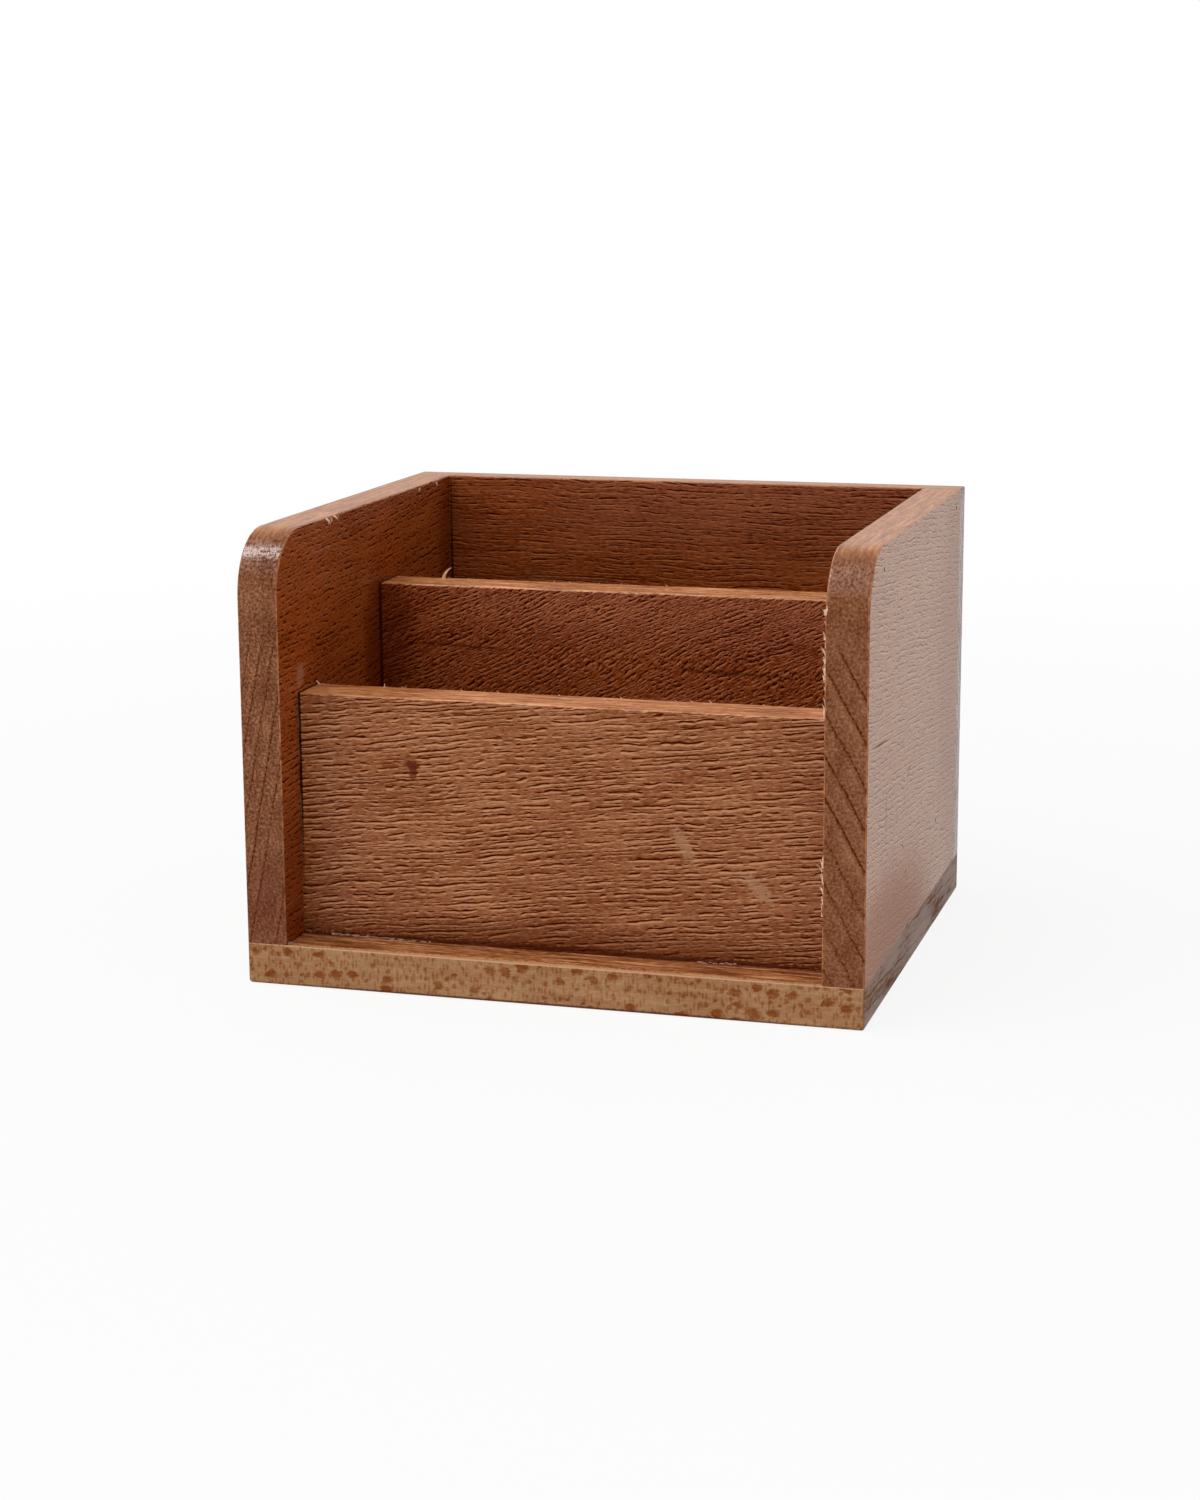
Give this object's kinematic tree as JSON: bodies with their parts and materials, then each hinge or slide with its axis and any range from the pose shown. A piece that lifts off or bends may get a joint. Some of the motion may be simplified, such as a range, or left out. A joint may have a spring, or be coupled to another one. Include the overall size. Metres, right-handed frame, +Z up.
{
  "type": "business card and pen stand",
  "caption": "Open wooden desk stand: a low front board and a mid divider make a card bay and a pen bay between two round-cornered side walls.",
  "frame": {"origin": "centre of the base board's underside", "axes": "+X to the right, +Y towards the back panel, +Z up"},
  "size_m": [0.12, 0.105, 0.087],
  "materials": {
    "wall_beech": "steamed beech under a thin satin lacquer",
    "panel_beech": "steamed beech under a thin satin lacquer, grain across the width",
    "base_beech": "paler beech with ray fleck on its front edge",
    "pin_beech": "raw fluted dowel"
  },
  "bodies": {
    "root": {"base_board": "base_beech", "left_side": "wall_beech", "right_side": "wall_beech", "front_panel": "panel_beech", "middle_divider": "panel_beech", "back_panel": "panel_beech", "base_dowels": "pin_beech", "front_panel_dowels": "pin_beech", "divider_dowels": "pin_beech", "back_panel_dowels": "pin_beech"}
  },
  "joints": []
}
